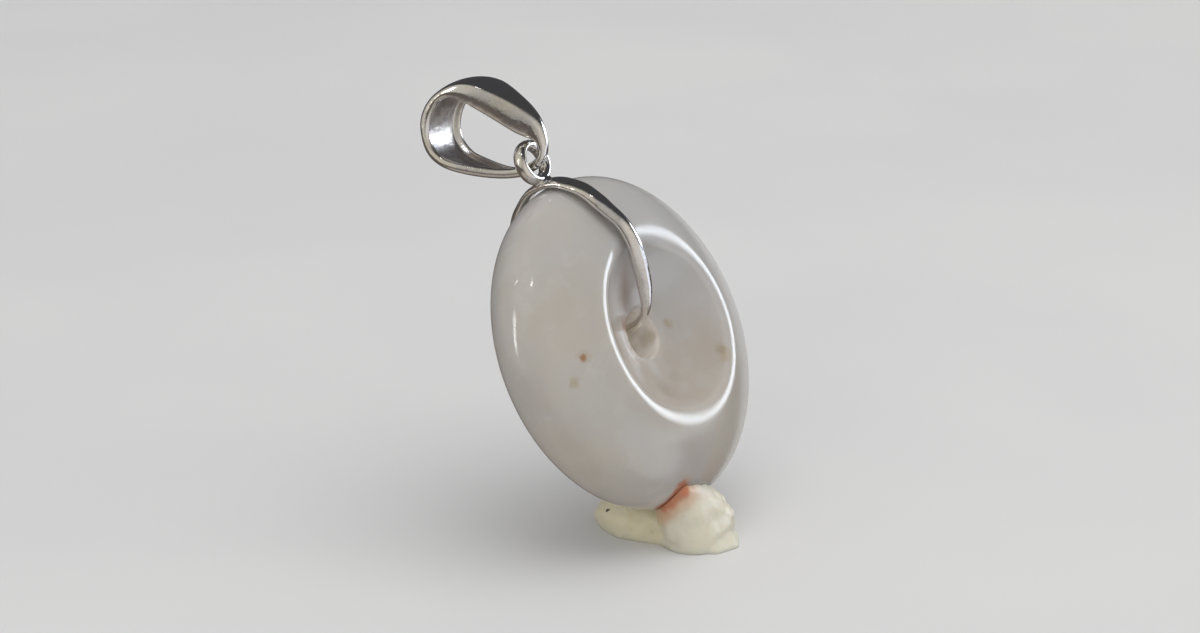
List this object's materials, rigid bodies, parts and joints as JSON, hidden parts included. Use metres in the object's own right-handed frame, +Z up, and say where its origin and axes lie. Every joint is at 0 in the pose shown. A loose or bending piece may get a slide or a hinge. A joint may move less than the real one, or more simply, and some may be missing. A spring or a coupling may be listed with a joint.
{
  "type": "jadeite donut pendant on a putty stand",
  "caption": "Thick domed jadeite donut with a polished silver claw strap, a soldered ring and a swinging melon-seed bail, held upright by a lump of putty.",
  "frame": {"origin": "on the flat underside of the putty, near its middle; the stone's middle is 3 mm behind and 13.2 mm above it", "axes": "+Z up; the stone's front looks toward -Y and leans back; +X is square to both, and the soldered ring sits slightly toward -X"},
  "size_m": [0.024, 0.0246, 0.0311],
  "materials": {
    "jade": "polished, slightly translucent, icy white",
    "silver": "mirror polish",
    "putty": "soft matt cream"
  },
  "bodies": {
    "pendant": {"jade_disc": "jade", "mount_strap": "silver", "putty_foot": "putty"},
    "bail": {"bail": "silver"}
  },
  "joints": [
    {"name": "bail_swing", "type": "hinge", "parent": "pendant", "child": "bail", "pos_m": [-0.00211, 0.00995, 0.02673], "axis": [0.9936, 0.0197, -0.1115], "range_deg": [0, 85]}
  ]
}
